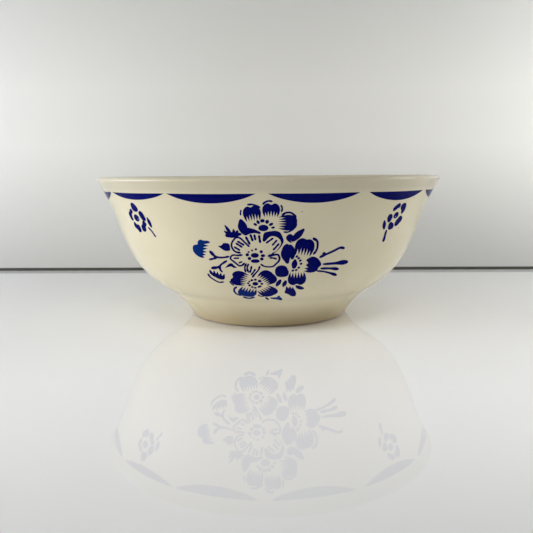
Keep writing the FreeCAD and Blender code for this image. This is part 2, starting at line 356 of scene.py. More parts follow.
def height_above_table(tree):
    place = tree.nodes.new("ShaderNodeTexCoord")
    split = tree.nodes.new("ShaderNodeSeparateXYZ")
    tree.links.new(place.outputs["Object"], split.inputs[0])
    return split.outputs["Z"]


def ivory_glaze():
    """Warm ivory glaze: cloudy tone, rare dark specks, amber and painted shade at the foot, painted shade
    at the rim.
    """
    material, tree, shader = new_material("ivory_glaze")
    surface = fired(tree, shader, 0.00012, (0.10, 0.19))
    tone = ramp(tree, surface.outputs["Pooling"],
                [(0.25, (0.64, 0.577, 0.405)), (0.55, (0.685, 0.626, 0.45)), (0.8, (0.72, 0.66, 0.488))])
    up = height_above_table(tree)
    # Amber of glaze pooled at the foot together with painted shade: darker towards the table.
    low = ranged(tree, up, *FOOT_AMBER_AND_SHADE, 0.75, 0.0)
    tone = mixed(tree, low, tone, (0.40, 0.31, 0.165))
    # Painted shade on the band at the rim: the glaze is greyed towards the top.
    high = ranged(tree, up, *RIM_PAINTED_SHADE, 0.0, 0.35)
    tone = mixed(tree, high, tone, (0.40, 0.37, 0.30))
    tone = mixed(tree, surface.outputs["Pinholes"], tone, (0.10, 0.075, 0.05))
    tree.links.new(tone, shader.inputs["Base Color"])
    shader.inputs["IOR"].default_value = 1.5
    return material


def blue_paint():
    """Cobalt under glaze: near black where it lies thick, clearer blue where it thins."""
    material, tree, shader = new_material("blue_paint")
    surface = fired(tree, shader, 0.0001, (0.10, 0.2))
    deep = ramp(tree, surface.outputs["Pooling"],
                [(0.3, (0.0012, 0.0022, 0.085)), (0.7, (0.0016, 0.004, 0.115))])
    thin = ramp(tree, surface.outputs["Pooling"],
                [(0.3, (0.002, 0.022, 0.17)), (0.7, (0.004, 0.05, 0.23))])
    wash = tree.nodes.new("ShaderNodeAttribute")
    wash.attribute_name = "wash"
    tone = mixed(tree, wash.outputs["Fac"], deep, thin)
    tree.links.new(tone, shader.inputs["Base Color"])
    shader.inputs["IOR"].default_value = 1.5
    shader.inputs["Specular IOR Level"].default_value = 0.02
    return material


def bare_clay():
    """Unglazed buff clay, sandy, its tone varying at random."""
    material, tree, shader = new_material("bare_clay")
    surface = tree.nodes.new("ShaderNodeGroup")
    surface.node_tree = FIRED_SURFACE
    surface.inputs["Peel Scale"].default_value = 1400.0
    surface.inputs["Pool Scale"].default_value = 45.0
    bump = node(tree, "ShaderNodeBump", Strength=0.6, Distance=0.00025)
    tree.links.new(surface.outputs["Height"], bump.inputs["Height"])
    tree.links.new(bump.outputs["Normal"], shader.inputs["Normal"])
    tone = ramp(tree, surface.outputs["Pooling"],
                [(0.3, (0.40, 0.29, 0.19)), (0.6, (0.52, 0.40, 0.28)), (0.8, (0.58, 0.48, 0.36))])
    tree.links.new(tone, shader.inputs["Base Color"])
    rough = ranged(tree, surface.outputs["Pooling"], 0.3, 0.7, 0.75, 0.9)
    tree.links.new(rough, shader.inputs["Roughness"])
    return material


IVORY = ivory_glaze()
BLUE = blue_paint()
CLAY = bare_clay()


# ---------------------------------------------------------------- bowl

turned("clay_body", clay_line(), CLAY, "bowl_body")
turned("glaze_skin", SECTION, IVORY, "glaze_coat")
turned("recess_glaze_skin", recess_glaze_line(), IVORY, "foot_recess_glaze")


# ---------------------------------------------------------------- painted decor

class OuterFace:
    """Finds places on the glazed outer face by their climb above the painter's zero."""

    def __init__(self):
        radius, lean = foot_side(0.0, GLAZE_LINE)
        pen = Pen(radius, GLAZE_LINE, lean, 0.5)
        up_the_outside(pen, 0.0)
        self.marks = list(zip(pen.points, pen.headings))
        self.climbs = [0.0]
        for (first, _), (second, _) in zip(self.marks, self.marks[1:]):
            self.climbs.append(self.climbs[-1] + math.dist(first, second))
        level = next(i for i, (point, _) in enumerate(self.marks) if point[1] >= PAINT_ZERO)
        self.zero = self.climbs[level]

    def at(self, climb):
        """Radius, height and heading in degrees at a climb."""
        along = self.zero + climb
        upper = min(max(bisect.bisect_left(self.climbs, along), 1), len(self.climbs) - 1)
        lower = upper - 1
        share = (along - self.climbs[lower]) / (self.climbs[upper] - self.climbs[lower])
        (first, way), (second, next_way) = self.marks[lower], self.marks[upper]
        return (first[0] + share * (second[0] - first[0]), first[1] + share * (second[1] - first[1]),
                way + share * (next_way - way))

    def place(self, direction, across, climb, lift):
        """The point in metres at a painter's measure, from a direction round the bowl."""
        radius, height, heading = self.at(climb)
        turn = math.radians(direction) + across / radius
        slope = math.radians(heading)
        radius = (radius + lift * math.sin(slope)) * FIT
        height = (height - lift * math.cos(slope)) * FIT
        return Vector((radius * math.sin(turn), -radius * math.cos(turn), height)) * MM


FACE = OuterFace()


def between(first, second, share):
    return (first[0] + share * (second[0] - first[0]), first[1] + share * (second[1] - first[1]))


def filled(outlines, sharp=()):
    """A flat mesh inside smooth closed outlines, of which all but the first are holes."""
    curve = bpy.data.curves.new("outline", "CURVE")
    curve.dimensions = "2D"
    curve.fill_mode = "FRONT"
    curve.resolution_u = 4
    for outline in outlines:
        spline = curve.splines.new("BEZIER")
        spline.bezier_points.add(len(outline) - 1)
        spline.use_cyclic_u = True
        for index, (knot, point) in enumerate(zip(spline.bezier_points, outline)):
            knot.co = (point[0], point[1], 0.0)
            kind = "VECTOR" if index in sharp else "AUTO"
            knot.handle_left_type = knot.handle_right_type = kind
    holder = bpy.data.objects.new("outline", curve)
    bpy.context.scene.collection.objects.link(holder)
    bpy.context.view_layer.update()
    mesh = bpy.data.meshes.new_from_object(holder)
    bpy.data.objects.remove(holder)
    bpy.data.curves.remove(curve)
    return mesh


class Stencil:
    """Flat brushwork, in millimetres across and up the wall, gathered for one painting."""

    def __init__(self):
        self.bm = bmesh.new()
        self.wash = self.bm.verts.layers.float.new("wash")

    def _add(self, mesh, wash):
        before = len(self.bm.verts)
        self.bm.from_mesh(mesh)
        bpy.data.meshes.remove(mesh)
        self.bm.verts.ensure_lookup_table()
        for vert in self.bm.verts[before:]:
            vert[self.wash] = wash

    def shape(self, points, wash=0.0, holes=(), sharp=()):
        self._add(filled([points, *holes], sharp), wash)

    def dot(self, centre, width, height=None, tilt=0.0, wash=0.0):
        """A round or oval touch of the brush."""
        height = width if height is None else height
        self.shape(oval(centre, width + PAINT_RUN, height + PAINT_RUN, tilt), wash)

    def stroke(self, points, width, end_width=None, wash=0.0):
        """A brush stroke along points, whose width may change to its end."""
        end_width = width if end_width is None else end_width
        last = len(points) - 1
        left, right = [], []
        for index, point in enumerate(points):
            before, after = points[max(index - 1, 0)], points[min(index + 1, last)]
            way = (Vector(after) - Vector(before)).normalized()
            half = (width + index / last * (end_width - width) + STROKE_RUN) / 2.0
            side = Vector((-way.y, way.x)) * half
            left.append(tuple(Vector(point) + side))
            right.append(tuple(Vector(point) - side))
            if index == 0:
                start = tuple(Vector(point) - way * half)
            end = tuple(Vector(point) + way * half)
        self.shape([start, *left, end, *reversed(right)], wash)

    def leaf(self, root, tip, width, bow=0.0, wash=0.0):
        """A leaf from its root to its pointed tip; bow pushes it to its left side."""
        along = Vector(tip) - Vector(root)
        side = Vector((-along.y, along.x)).normalized()
        rim = [(0.0, 0.12), (0.25, 0.42), (0.55, 0.5), (0.82, 0.3), (1.0, 0.0)]
        outline = []
        for share, half in rim + [(share, -half) for share, half in rim[-2::-1]]:
            push = half * width + bow * math.sin(math.pi * share)
            outline.append(tuple(Vector(root) + along * share + side * push))
        self.shape(outline, wash)

    def petal(self, root, tip, width, teeth=0, notch=0.0, wash=0.0, slit=0.34):
        """A broad petal: its edge may be notched at the tip, and its root is a comb of teeth."""
        along = Vector(tip) - Vector(root)
        side = Vector((-along.y, along.x)).normalized() * width
        half_rim = [(0.0, -0.38), (0.3, -0.5), (0.62, -0.53), (0.88, -0.42)]
        top = [(1.0, -0.2), (1.0 - notch, 0.0), (1.0, 0.2)]
        rim = half_rim + top + [(share, -half) for share, half in reversed(half_rim)]
        comb = []
        for step in range(1, 2 * teeth - 2):
            across = 0.38 - 0.38 * step / (teeth - 1.0)
            if step % 2:
                comb.append((slit * (1.15 - 2.6 * across ** 2), across * 1.15))
            else:
                comb.append((0.1 * abs(across), across))
        points = [tuple(Vector(root) + along * share + side * half) for share, half in rim + comb]
        cut = range(len(rim) - 1, len(points)) if teeth else ()
        self.shape(points, wash, sharp=(0, *cut) if teeth else ())

    def divide(self):
        """Cut the flat work along a grid, so that it can bend with the wall."""
        bmesh.ops.remove_doubles(self.bm, verts=self.bm.verts[:], dist=0.001)
        corners = [vert.co for vert in self.bm.verts]
        for axis in (0, 1):
            low = min(corner[axis] for corner in corners)
            high = max(corner[axis] for corner in corners)
            normal = Vector((1, 0, 0)) if axis == 0 else Vector((0, 1, 0))
            for number in range(1, int((high - low) / PAINT_GRID) + 1):
                bmesh.ops.bisect_plane(
                    self.bm, geom=self.bm.verts[:] + self.bm.edges[:] + self.bm.faces[:],
                    plane_co=normal * (low + number * PAINT_GRID), plane_no=normal)
        return self


def oval(centre, width, height, tilt=0.0):
    """Eight points round an oval."""
    turn = Matrix.Rotation(math.radians(tilt), 2)
    return [tuple(Vector(centre) + turn @ Vector((width / 2.0 * math.cos(angle),
                                                  height / 2.0 * math.sin(angle))))
            for angle in (math.tau * eighth / 8.0 for eighth in range(8))]


def lay_on(stencil, name, direction, cad_node):
    """Paint a stencil on the bowl: thickened, then laid round the wall at a direction."""
    bm = stencil.bm.copy()
    flat = bm.faces[:]
    raised = bmesh.ops.extrude_face_region(bm, geom=flat, use_keep_orig=True)
    tops = [item for item in raised["geom"] if isinstance(item, bmesh.types.BMVert)]
    bmesh.ops.translate(bm, vec=(0, 0, PAINT_LIFT + PAINT_ROOT), verts=tops)
    bmesh.ops.translate(bm, vec=(0, 0, -PAINT_ROOT), verts=bm.verts[:])
    bmesh.ops.recalc_face_normals(bm, faces=bm.faces[:])
    for edge in bm.edges:
        edge.smooth = edge.calc_face_angle(0.0) < CORNER_ANGLE
    for face in bm.faces:
        face.smooth = True
    for vert in bm.verts:
        vert.co = FACE.place(direction, *vert.co)
    return new_object(bm, name, BLUE, [cad_node])


def border_crescent(deep):
    """A crescent with a level top edge and pointed ends."""
    half, top = 26.9, 31.1
    bow = [(half * share, top - deep * (1.0 - share ** 2) ** 0.9)
           for share in (-0.8, -0.55, -0.28, 0.0, 0.28, 0.55, 0.8)]
    stencil = Stencil()
    stencil.shape([(-half, top), *bow, (half, top), (0.0, top - 0.2)], sharp=(0, 8))
    return stencil.divide()


def single_flower():
    """Five petals round a ringed middle, a stem and one leaf."""
    stencil = Stencil()
    stencil.shape([(-6.7, 19.3), (-7.0, 21.8), (-5.8, 23.9), (-3.6, 24.3), (-1.6, 22.9), (-0.5, 20.8),
                   (-1.2, 18.9), (-3.6, 18.2)])
    stencil.shape([(-1.4, 17.4), (0.2, 18.9), (2.3, 18.4), (3.6, 15.6), (3.7, 12.9), (1.9, 12.2),
                   (-0.8, 14.2)])
    stencil.shape([(0.3, 12.5), (2.3, 11.4), (2.8, 9.9), (1.2, 8.5), (0.7, 6.2), (-1.5, 5.0), (-3.4, 6.1),
                   (-3.6, 8.6), (-1.8, 9.9)])
    stencil.shape([(-10.7, 11.2), (-12.1, 9.9), (-11.8, 7.4), (-9.6, 6.1), (-7.6, 4.3), (-5.3, 5.0),
                   (-4.9, 7.2), (-6.3, 9.4), (-8.5, 9.6)])
    stencil.shape([(-7.9, 19.3), (-9.9, 19.9), (-11.6, 18.3), (-13.9, 17.0), (-14.1, 14.2), (-12.6, 12.0),
                   (-10.9, 12.1), (-10.7, 14.8), (-9.6, 16.8), (-8.0, 17.6)])
    stencil.shape(oval((-5.8, 14.0), 5.8, 4.8), holes=[oval((-4.4, 13.4), 0.8, 0.8)])
    stencil.leaf((7.0, 8.3), (5.8, 15.0), 3.0)
    stencil.stroke([(3.9, 8.0), (5.7, 6.2), (7.1, 4.2), (8.1, 2.6)], 1.1)
    return stencil.divide()


def leaning_flower():
    """The single flower's sister, leaning the other way."""
    stencil = Stencil()
    stencil.shape([(-5.3, 18.9), (-4.6, 20.6), (-2.6, 22.1), (-0.7, 22.9), (1.1, 21.7), (1.2, 20.2),
                   (-0.7, 19.3), (-2.3, 18.3), (-3.8, 17.5)])
    stencil.shape([(1.9, 20.3), (3.3, 22.4), (5.8, 22.7), (7.9, 21.2), (8.4, 18.6), (7.5, 16.2),
                   (5.4, 15.5), (4.2, 17.7)])
    stencil.shape([(-7.4, 15.3), (-5.3, 15.9), (-3.2, 14.6), (-3.1, 12.5), (-4.8, 10.4), (-6.6, 11.1)])
    stencil.shape([(-4.3, 7.5), (-3.6, 10.4), (-1.2, 10.1), (1.0, 8.6), (1.4, 6.7), (-0.6, 5.6),
                   (-2.9, 5.5)])
    stencil.shape([(1.7, 9.6), (3.3, 12.3), (5.6, 14.2), (7.9, 13.5), (9.0, 11.3), (7.2, 9.2), (4.6, 7.4),
                   (2.6, 7.6)])
    stencil.shape(oval((0.3, 14.8), 4.9, 4.3), holes=[oval((0.1, 13.9), 0.8, 0.8)])
    stencil.leaf((-7.4, 6.0), (-9.9, 12.1), 2.9)
    stencil.stroke([(-4.9, 4.8), (-4.9, 2.6), (-4.8, 0.4), (-4.7, -1.3)], 1.6, 2.4)
    return stencil.divide()


def upper_bloom(stencil):
    """The flower at the top, seen half from the side."""
    stencil.petal((-8.4, 14.0), (-9.9, 23.4), 9.4, teeth=6, notch=0.08, slit=0.44)
    stencil.petal((1.4, 16.4), (1.6, 25.0), 9.2, teeth=6, notch=0.1, slit=0.42)
    stencil.petal((5.4, 13.0), (16.0, 13.0), 9.0, teeth=6, slit=0.4)
    stencil.leaf((-13.0, 5.8), (-15.7, 15.4), 5.2, bow=0.3)
    stencil.shape([(-15.0, 8.6), (-12.8, 10.0), (-9.5, 9.6), (-6.5, 8.4), (-4.4, 6.6), (-7.5, 6.8),
                   (-10.5, 6.4), (-13.5, 5.4)])
    stencil.dot((-2.9, 9.9), 5.4, 3.6)
    stencil.stroke([(-11.3, 24.3), (-8.5, 24.3), (-6.5, 23.6), (-4.9, 22.6)], 0.9)
    stencil.stroke([(-15.2, 20.8), (-15.5, 19.5), (-15.5, 18.0)], 0.7)
    stencil.stroke([(-2.9, 24.7), (-1.5, 25.9), (0.2, 26.5), (1.8, 26.2)], 1.0)
    stencil.stroke([(7.0, 23.6), (7.6, 22.0), (7.3, 20.0)], 0.8)
    stencil.stroke([(7.8, 17.8), (9.5, 19.0), (12.0, 19.2), (14.0, 18.0), (15.2, 16.5)], 1.1)
    stencil.stroke([(8.8, 7.3), (11.0, 7.3), (13.0, 8.3), (14.2, 9.3)], 0.8)
    for centre, width, height, tilt in (((-7.4, 12.1), 2.0, 1.2, 150.0), ((-5.8, 13.5), 2.2, 1.4, 120.0),
                                        ((-3.4, 14.3), 2.3, 1.9, 0.0), ((-0.8, 13.7), 1.8, 2.2, -20.0),
                                        ((1.4, 12.1), 2.4, 1.3, 30.0), ((2.5, 10.1), 1.9, 1.0, 10.0)):
        stencil.dot(centre, width, height, tilt)


def open_bloom(stencil):
    """The middle flower, drawn mostly in outline."""
    stencil.stroke([(-16.5, -5.6), (-19.0, -5.0), (-21.0, -2.5), (-21.3, 0.0), (-20.0, 2.5),
                    (-18.5, 4.0), (-16.5, 3.8), (-14.0, 1.5), (-12.3, -0.3), (-11.3, -1.3)], 1.0)
    stencil.stroke([(-15.5, -7.0), (-18.0, -7.3), (-21.0, -7.3), (-22.3, -9.5), (-21.0, -11.0),
                    (-19.0, -12.8), (-17.5, -14.2), (-16.0, -14.2), (-14.3, -12.7)], 1.0)
    stencil.stroke([(0.0, -7.6), (3.0, -6.9), (5.2, -6.9), (6.1, -8.5), (5.8, -11.0),
                    (4.3, -12.8), (2.5, -14.6), (0.0, -15.0), (-2.5, -14.6), (-4.5, -13.3)], 1.3, 0.8)
    stencil.shape([(-2.8, 1.5), (-3.2, 4.5), (-2.3, 7.0), (-0.5, 7.6), (2.0, 8.0), (4.5, 8.0),
                   (6.5, 7.0), (7.8, 4.5), (8.5, 2.0), (7.5, -0.8), (6.0, -3.0), (4.0, -5.0),
                   (1.8, -6.2), (4.0, -4.6), (6.0, -2.0), (7.0, 0.5), (6.5, 2.5), (4.5, 4.3),
                   (2.0, 4.9), (0.0, 4.0), (-1.5, 2.3)])
    dashes = (((-17.5, 1.6), (-14.3, -0.5), 1.0), ((-18.5, 0.3), (-15.4, -1.8), 1.0),
              ((-19.5, -2.0), (-16.8, -3.8), 1.0), ((-20.0, -9.3), (-17.5, -9.1), 0.9),
              ((-17.2, -12.3), (-15.8, -11.6), 0.9), ((-1.2, 0.8), (2.3, 3.5), 0.9),
              ((2.2, -0.6), (4.5, 2.2), 0.9), ((2.7, -3.6), (5.7, 0.0), 0.9),
              ((-12.8, 4.2), (-10.8, 0.2), 1.1), ((-10.2, 5.6), (-9.1, 2.3), 1.1),
              ((-8.0, 5.5), (-7.5, 3.0), 1.1), ((-5.4, 5.0), (-4.8, 1.2), 1.1))
    for start, end, width in dashes:
        stencil.stroke([start, between(start, end, 0.5), end], width)
    stencil.stroke([(0.8, -8.9), (2.5, -9.0), (4.3, -9.6)], 0.9)
    for centre, width, height in (((-8.0, -7.2), 4.4, 2.8), ((-7.8, -11.0), 5.0, 2.2),
                                  ((-12.3, -6.8), 1.8, 1.8), ((-11.1, -9.3), 1.8, 1.8),
                                  ((-11.5, -5.0), 0.9, 0.9), ((-9.5, -4.0), 0.9, 0.9),
                                  ((-7.3, -3.3), 1.1, 1.1), ((-4.3, -4.8), 1.6, 1.6),
                                  ((-3.3, -7.4), 2.2, 1.6), ((-4.0, -9.6), 1.8, 1.8)):
        stencil.dot(centre, width, height)
    for points, width in (([(-13.2, -13.0), (-14.0, -15.5), (-13.6, -18.7)], 0.8),
                          ([(-11.8, -13.2), (-12.6, -15.5), (-12.0, -18.9)], 0.8),
                          ([(-10.0, -14.8), (-10.5, -17.0), (-11.0, -19.0)], 0.9),
                          ([(-8.0, -16.8), (-9.0, -18.8), (-10.3, -20.8)], 0.8),
                          ([(-5.3, -14.8), (-6.0, -17.0), (-8.0, -20.0), (-9.7, -22.7)], 0.9)):
        stencil.stroke(points, width)


def lower_bloom(stencil):
    """The flower at the bottom, with the leaves beside it."""
    stencil.petal((-12.8, -25.6), (-22.4, -22.9), 11.4, teeth=7, notch=0.1, slit=0.4)
    stencil.petal((-4.2, -26.0), (2.6, -20.4), 11.2, teeth=7, slit=0.42)
    stencil.petal((-4.0, -32.6), (2.8, -40.2), 10.8, teeth=6, slit=0.42)
    stencil.petal((-11.6, -32.2), (-14.8, -42.1), 10.8, teeth=6, wash=0.5, slit=0.42)
    stencil.dot((-8.1, -28.4), 3.2, 3.0)
    for centre, width in (((-10.1, -25.3), 1.5), ((-8.0, -24.8), 1.5), ((-5.5, -26.0), 2.0),
                          ((-4.2, -28.4), 1.5), ((-8.2, -32.2), 1.4), ((-10.0, -31.5), 1.4),
                          ((-11.6, -29.9), 1.5), ((-12.4, -28.0), 1.2), ((-11.6, -26.4), 1.0)):
        stencil.dot(centre, width)
    stencil.dot((-5.6, -31.0), 2.6, 1.5, 35.0)
    for points, width, wash in (([(-23.5, -26.8), (-22.7, -28.8), (-21.3, -30.2)], 0.7, 0.0),
                                ([(-6.5, -40.3), (-5.0, -42.0), (-3.0, -41.8)], 0.8, 0.0),
                                ([(-19.8, -31.8), (-21.3, -34.5), (-20.8, -38.0), (-19.0, -40.5),
                                  (-17.5, -41.2)], 1.2, 0.3),
                                ([(-15.5, -43.5), (-12.5, -45.0), (-9.5, -43.5)], 1.8, 0.8)):
        stencil.stroke(points, width, wash=wash)
    stencil.leaf((-2.2, -43.0), (-0.2, -47.5), 1.6)
    stencil.shape([(0.6, -44.2), (3.0, -43.6), (5.0, -43.0), (5.8, -41.2), (7.0, -43.6), (8.2, -46.2),
                   (7.8, -48.0), (5.0, -46.9), (2.4, -45.9)], wash=0.5)
    stencil.leaf((6.9, -24.9), (4.3, -31.0), 2.7)
    stencil.leaf((10.1, -25.7), (8.3, -31.6), 2.5)


def side_bloom(stencil):
    """The flower on the right, with its stems."""
    stencil.petal((19.6, -8.0), (21.8, 2.9), 10.8, teeth=6, notch=0.04, slit=0.42)
    stencil.shape([(25.6, -8.7), (28.2, -9.6), (30.3, -12.0), (31.2, -14.6), (29.6, -16.6), (28.6, -18.8),
                   (26.2, -19.9), (23.4, -19.9), (20.6, -18.7), (22.8, -18.0), (20.8, -16.6), (23.2, -16.2),
                   (21.6, -14.2), (23.0, -13.0), (21.9, -10.9), (23.4, -9.6)], sharp=(8, 9, 10, 11, 12))
    stencil.petal((16.6, -19.0), (16.7, -30.1), 10.4, teeth=6, notch=0.1, slit=0.42)
    stencil.stroke([(26.0, 2.8), (28.0, 1.2), (28.4, -1.8), (27.8, -4.6), (26.2, -7.0)], 1.5, 1.0)
    stencil.leaf((14.5, -16.6), (15.3, -10.0), 3.4)
    for centre in ((16.2, -8.3), (17.3, -9.5), (18.3, -11.1), (18.8, -13.3), (17.5, -16.0),
                   (16.0, -17.7), (14.0, -18.0)):
        stencil.dot(centre, 1.5, 1.1, 45.0)
    stencil.leaf((10.3, -0.2), (11.0, -13.0), 5.4, bow=-1.0)
    stencil.leaf((12.0, -0.6), (13.6, -10.2), 4.4, bow=0.5)
    stencil.shape([(4.0, -16.0), (5.5, -14.5), (8.0, -14.1), (10.0, -15.0), (11.0, -17.0),
                   (11.7, -19.4), (10.9, -21.8), (9.0, -22.7), (5.5, -22.4), (4.0, -20.8)])
    stencil.shape([(10.2, -30.6), (10.0, -34.0), (9.6, -38.0), (11.6, -39.6), (13.4, -42.0), (15.6, -42.8),
                   (16.6, -40.4), (16.4, -37.6), (15.4, -34.6), (14.2, -31.8), (13.6, -33.6),
                   (12.6, -31.0), (11.8, -33.2)], sharp=(0, 9, 10, 11, 12))
    stencil.shape([(15.8, -30.2), (18.0, -30.8), (20.0, -32.0), (21.4, -34.2), (20.2, -34.9), (18.0, -34.4),
                   (16.4, -32.8)], sharp=(0,))
    stencil.stroke([(30.3, -9.3), (34.0, -7.6), (39.0, -5.5), (43.0, -3.8), (45.3, -4.1)], 1.2, 1.6)
    stencil.dot((32.7, -7.2), 2.0)
    stencil.stroke([(32.5, -14.3), (40.0, -14.2), (48.0, -13.9)], 0.9, 2.6)
    stencil.stroke([(31.3, -17.4), (37.0, -17.7), (42.3, -18.6)], 1.1, 1.8)
    stencil.stroke([(28.8, -19.0), (33.0, -19.8), (37.0, -21.2), (41.5, -23.3)], 0.8, 1.8)
    stencil.leaf((13.0, 1.6), (20.3, 9.0), 3.8)
    stencil.petal((14.4, 1.4), (10.6, 5.2), 4.2, teeth=3)


def buds(stencil):
    """Two buds and small leaves on the left."""
    for root, tip in (((-21.0, 5.6), (-24.9, 11.6)), ((-19.6, 5.6), (-19.9, 9.3)),
                      ((-18.4, 5.6), (-17.5, 8.6)), ((-21.5, 5.0), (-25.5, 8.1))):
        stencil.leaf(root, tip, 1.8)
    stencil.leaf((-24.8, 5.2), (-15.3, 6.2), 3.6)
    stencil.shape([(-29.6, -1.5), (-27.3, -0.9), (-26.3, 0.3), (-24.6, 0.5), (-22.9, 0.0), (-22.3, -2.0),
                   (-22.3, -4.1), (-23.8, -4.5), (-25.7, -4.3), (-27.6, -3.0)], sharp=(0, 6))
    stencil.shape([(-34.4, 0.7), (-35.6, 1.6), (-38.2, 1.7), (-40.6, 2.2), (-42.2, 1.0), (-42.6, -0.8),
                   (-45.2, -1.6), (-46.0, -4.2), (-44.8, -7.0), (-42.4, -8.9), (-40.0, -9.7), (-38.4, -9.4),
                   (-39.8, -8.2), (-37.4, -7.6), (-39.6, -6.4), (-36.6, -5.6), (-39.4, -4.6),
                   (-36.0, -3.4), (-39.2, -2.6), (-35.2, -1.6), (-38.4, -0.6), (-34.8, 0.2)],
                  wash=0.6, sharp=range(11, 22))
    stencil.stroke([(-23.3, -8.2), (-26.0, -8.8), (-29.0, -9.0), (-31.5, -8.4), (-34.5, -5.3)], 0.9, 1.5)
    stencil.stroke([(-31.0, -9.0), (-32.8, -9.9), (-35.3, -10.6)], 1.6, 1.0)
    stencil.stroke([(-24.7, -11.2), (-28.0, -13.6), (-29.8, -15.5), (-34.0, -16.6)], 0.9, 1.7)
    stencil.stroke([(-29.2, -15.6), (-29.0, -17.5), (-27.9, -19.2)], 1.6, 0.8)
    stencil.shape([(-35.8, -17.6), (-36.2, -19.8), (-34.6, -22.2), (-32.4, -23.8), (-29.8, -25.2),
                   (-27.2, -25.2), (-26.4, -23.6), (-26.6, -20.4), (-28.0, -22.4), (-28.8, -19.8),
                   (-29.9, -21.8), (-31.0, -19.0), (-31.8, -21.0), (-33.2, -18.0), (-33.8, -20.4)],
                  sharp=(0, *range(7, 15)))
    stencil.stroke([(-37.2, -21.5), (-36.0, -23.8), (-34.0, -25.6), (-32.0, -27.2), (-30.0, -28.0),
                    (-27.8, -27.5)], 1.0)
    stencil.shape([(-26.0, -16.3), (-24.6, -14.4), (-23.0, -12.9), (-21.6, -12.8), (-20.4, -14.2),
                   (-18.5, -15.6), (-20.6, -15.9), (-22.0, -15.0), (-23.8, -15.4)], sharp=(0, 5))


def bunch_of_flowers():
    """All the blooms and buds on one stencil."""
    stencil = Stencil()
    upper_bloom(stencil)
    open_bloom(stencil)
    lower_bloom(stencil)
    side_bloom(stencil)
    buds(stencil)
    return stencil.divide()


# Directions of the painted pieces round the bowl, in degrees from the front towards +X.
SWAGS = [14.8, 44.4, 73.6, 104.4, 135.2, 166.0, 196.9, 227.7, 258.5, 289.3, 317.6, 345.0]
SLIM_SWAGS = (5, 8, 11)
BUNCHES = [1.66, 181.66]
# Single flowers: direction, and whether it is the leaning one.
SPRIGS = [(46.66, True), (90.0, True), (135.0, False), (225.0, True), (270.0, False), (316.66, False)]

full_crescent = border_crescent(6.1)
slim_crescent = border_crescent(4.6)
for number, direction in enumerate(SWAGS, start=1):
    crescent = slim_crescent if number in SLIM_SWAGS else full_crescent
    lay_on(crescent, "crescent_%02d" % number, direction, "swag_%02d" % number)
bunch = bunch_of_flowers()
for number, direction in enumerate(BUNCHES, start=1):
    lay_on(bunch, "bunch_of_flowers_%d" % number, direction, "bouquet_%d" % number)
upright, leaning = single_flower(), leaning_flower()
for number, (direction, leans) in enumerate(SPRIGS, start=1):
    lay_on(leaning if leans else upright, "single_flower_%d" % number, direction, "sprig_%d" % number)


# ---------------------------------------------------------------- table, light, camera

TABLE_BACK = 0.19
GAP = 0.003
VARNISH = 0.0004
STAGE_WIDTH = 4.0
WALL_HEIGHT = 1.2
# The wall's painted shade, darker at its foot and towards its top: share of this height, and depth of tone.
SHADE_HEIGHT = 0.3
WALL_SHADES = [(0.0, 0.66), (0.43, 1.0), (0.62, 1.0), (0.92, 0.84)]


def stage_material(name, colour, roughness, ior=1.5, front_only=False, shades=()):
    """A plain pale surface with a faint tone; it may carry painted shade by height, and be seen from
    its front only."""
    material, tree, shader = new_material(name)
    cloud = node(tree, "ShaderNodeTexNoise", Scale=6.0, Detail=2.0)
    around = tree.nodes.new("ShaderNodeTexCoord")
    tree.links.new(around.outputs["Object"], cloud.inputs["Vector"])
    darker = tuple(part * 0.97 for part in colour)
    tone = mixed(tree, cloud.outputs["Fac"], darker, colour)
    if shades:
        # Painted shade: the tone is darkened by height above the table.
        up = ranged(tree, height_above_table(tree), 0.0, SHADE_HEIGHT, 0.0, 1.0)
        shade = ramp(tree, up, [(place, (depth, depth, depth)) for place, depth in shades])
        tone = mixed(tree, 1.0, tone, shade, "MULTIPLY")
    tree.links.new(tone, shader.inputs["Base Color"])
    shader.inputs["Roughness"].default_value = roughness
    shader.inputs["IOR"].default_value = ior
    if front_only:
        behind = tree.nodes.new("ShaderNodeNewGeometry")
        clear = tree.nodes.new("ShaderNodeBsdfTransparent")
        either = tree.nodes.new("ShaderNodeMixShader")
        output = tree.nodes["Material Output"]
        tree.links.new(behind.outputs["Backfacing"], either.inputs["Fac"])
        tree.links.new(shader.outputs[0], either.inputs[1])
        tree.links.new(clear.outputs[0], either.inputs[2])
        tree.links.new(either.outputs[0], output.inputs["Surface"])
    return material


def varnish():
    """Clear gloss for the table: a sharp mirror that grows at low angles; lamps shine
    through it unchanged."""
    material, tree, shader = new_material("clear_varnish")
    tree.nodes.remove(shader)
    mirror = node(tree, "ShaderNodeBsdfGlossy", Color=(1.0, 1.0, 1.0, 1.0), Roughness=0.0)
    clear = tree.nodes.new("ShaderNodeBsdfTransparent")
    share = node(tree, "ShaderNodeFresnel", IOR=1.6)
    seen = tree.nodes.new("ShaderNodeLightPath")
    mirrored = tree.nodes.new("ShaderNodeMath")
    mirrored.operation = "MULTIPLY"
    either = tree.nodes.new("ShaderNodeMixShader")
    tree.links.new(share.outputs[0], mirrored.inputs[0])
    tree.links.new(seen.outputs["Is Camera Ray"], mirrored.inputs[1])
    tree.links.new(mirrored.outputs[0], either.inputs["Fac"])
    tree.links.new(clear.outputs[0], either.inputs[1])
    tree.links.new(mirror.outputs[0], either.inputs[2])
    tree.links.new(either.outputs[0], tree.nodes["Material Output"].inputs["Surface"])
    return material


def stage_sheet(name, material, matrix, depth):
    """A flat sheet as wide as the stage."""
    bm = bmesh.new()
    bmesh.ops.create_grid(bm, x_segments=1, y_segments=1, size=0.5)
    bmesh.ops.scale(bm, vec=(STAGE_WIDTH, depth, 1.0), verts=bm.verts[:])
    bmesh.ops.transform(bm, matrix=matrix, verts=bm.verts[:])
    mesh = bpy.data.meshes.new(name)
    bm.to_mesh(mesh)
    bm.free()
    mesh.materials.append(material)
    sheet = bpy.data.objects.new(name, mesh)
    bpy.context.scene.collection.objects.link(sheet)


